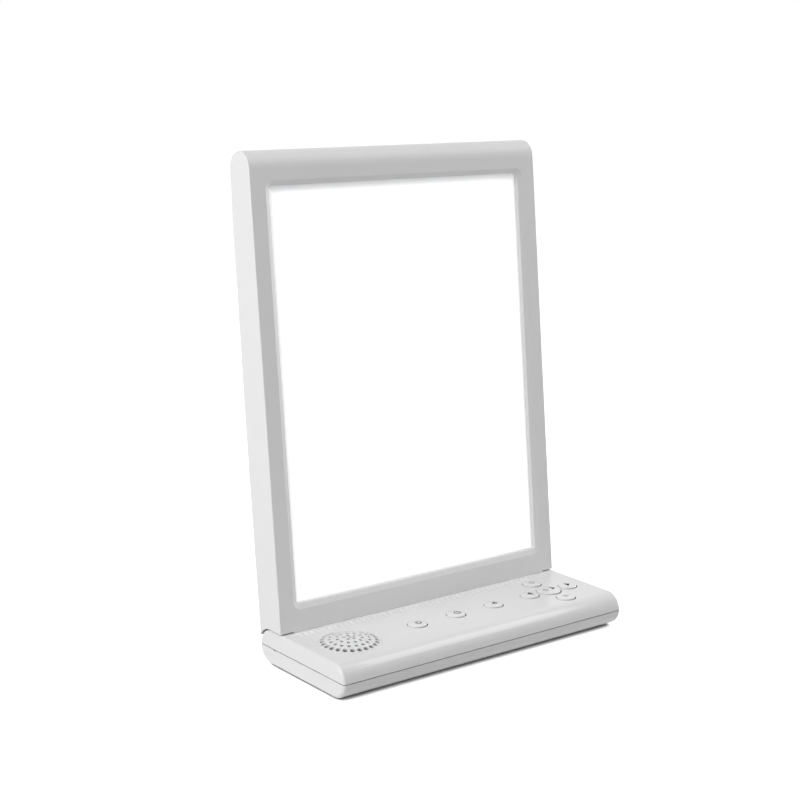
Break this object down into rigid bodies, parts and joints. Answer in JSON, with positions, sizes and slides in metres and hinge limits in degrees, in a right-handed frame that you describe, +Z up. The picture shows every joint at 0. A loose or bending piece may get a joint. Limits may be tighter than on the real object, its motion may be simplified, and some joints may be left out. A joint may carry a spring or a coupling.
{
  "type": "light therapy lamp",
  "caption": "Tall flat light panel with a glowing rectangular window, hinged at the rear of a low wide base with round push keys and a domed speaker grille.",
  "frame": {"origin": "on the table, under the middle of the lamp's bounding box as it stands upright", "axes": "+Z up, the lit side faces -Y, +X to the right of someone who faces the light"},
  "size_m": [0.21, 0.1096, 0.2953],
  "materials": {
    "housing_plastic": "fine satin",
    "trim_plastic": "satin, ribbed",
    "key_plastic": "satin",
    "grille_plastic": "fine satin",
    "inlet_plastic": "smooth black",
    "switch_plastic": "matt black",
    "bush_plastic": "smooth",
    "rubber": "matt",
    "foam": "soft foam",
    "cone_paper": "matt",
    "magnet": "plated",
    "plain_steel": "zinc plated",
    "bright_steel": "turned",
    "circuit_board": "solder mask",
    "diffuser": "opal, lit from behind",
    "clear_acrylic": "polished",
    "reflector": "white film",
    "aluminium_sheet": "rolled sheet"
  },
  "bodies": {
    "base": {"base_top_cover": "housing_plastic", "base_bottom_cover": "housing_plastic", "rubber_feet": "rubber", "cover_strip": "trim_plastic", "key_board": "circuit_board", "key_switches": "switch_plastic", "main_board": "circuit_board", "board_parts": "switch_plastic", "ballast_plate": "plain_steel", "speaker_grille": "grille_plastic", "speaker_gasket": "foam", "speaker_frame": "plain_steel", "speaker_cone": "cone_paper", "speaker_magnet": "magnet", "dc_jack": "inlet_plastic", "hinge_bracket_left": "plain_steel", "hinge_bracket_right": "plain_steel", "hinge_bushes": "bush_plastic", "disc_springs": "bright_steel"},
    "panel": {"panel_housing": "housing_plastic", "panel_back_cover": "housing_plastic", "diffuser_plate": "diffuser", "light_guide": "clear_acrylic", "reflector_sheet": "reflector", "heat_spreader": "aluminium_sheet", "driver_board": "circuit_board", "led_strip_left": "circuit_board", "led_strip_right": "circuit_board", "hinge_arm_left": "plain_steel", "hinge_arm_right": "plain_steel", "hinge_shaft_left": "bright_steel", "hinge_shaft_right": "bright_steel", "hinge_nuts": "bright_steel"},
    "power_key": {"power_key": "key_plastic"},
    "timer_key": {"timer_key": "key_plastic"},
    "sound_key": {"sound_key": "key_plastic"},
    "select_key": {"select_key": "key_plastic"},
    "left_key": {"left_key": "key_plastic"},
    "right_key": {"right_key": "key_plastic"},
    "back_key": {"back_key": "key_plastic"},
    "front_key": {"front_key": "key_plastic"}
  },
  "joints": [
    {"name": "panel_fold", "type": "hinge", "parent": "base", "child": "panel", "pos_m": [0, 0.01995, 0.0112], "axis": [-1, 0, 0], "range_deg": [0, 84.3]},
    {"name": "power_press", "type": "slide", "parent": "base", "child": "power_key", "axis": [0, 0, -1], "range_m": [0, 0.0006], "stiffness_N_per_m": 1500, "springref_m": -0.0002},
    {"name": "timer_press", "type": "slide", "parent": "base", "child": "timer_key", "axis": [0, 0, -1], "range_m": [0, 0.0006], "stiffness_N_per_m": 1500, "springref_m": -0.0002},
    {"name": "sound_press", "type": "slide", "parent": "base", "child": "sound_key", "axis": [0, 0, -1], "range_m": [0, 0.0006], "stiffness_N_per_m": 1500, "springref_m": -0.0002},
    {"name": "select_press", "type": "slide", "parent": "base", "child": "select_key", "axis": [0, 0, -1], "range_m": [0, 0.0006], "stiffness_N_per_m": 1500, "springref_m": -0.0002},
    {"name": "left_press", "type": "slide", "parent": "base", "child": "left_key", "axis": [0, 0, -1], "range_m": [0, 0.0006], "stiffness_N_per_m": 1500, "springref_m": -0.0002},
    {"name": "right_press", "type": "slide", "parent": "base", "child": "right_key", "axis": [0, 0, -1], "range_m": [0, 0.0006], "stiffness_N_per_m": 1500, "springref_m": -0.0002},
    {"name": "back_press", "type": "slide", "parent": "base", "child": "back_key", "axis": [0, 0, -1], "range_m": [0, 0.0006], "stiffness_N_per_m": 1500, "springref_m": -0.0002},
    {"name": "front_press", "type": "slide", "parent": "base", "child": "front_key", "axis": [0, 0, -1], "range_m": [0, 0.0006], "stiffness_N_per_m": 1500, "springref_m": -0.0002}
  ]
}
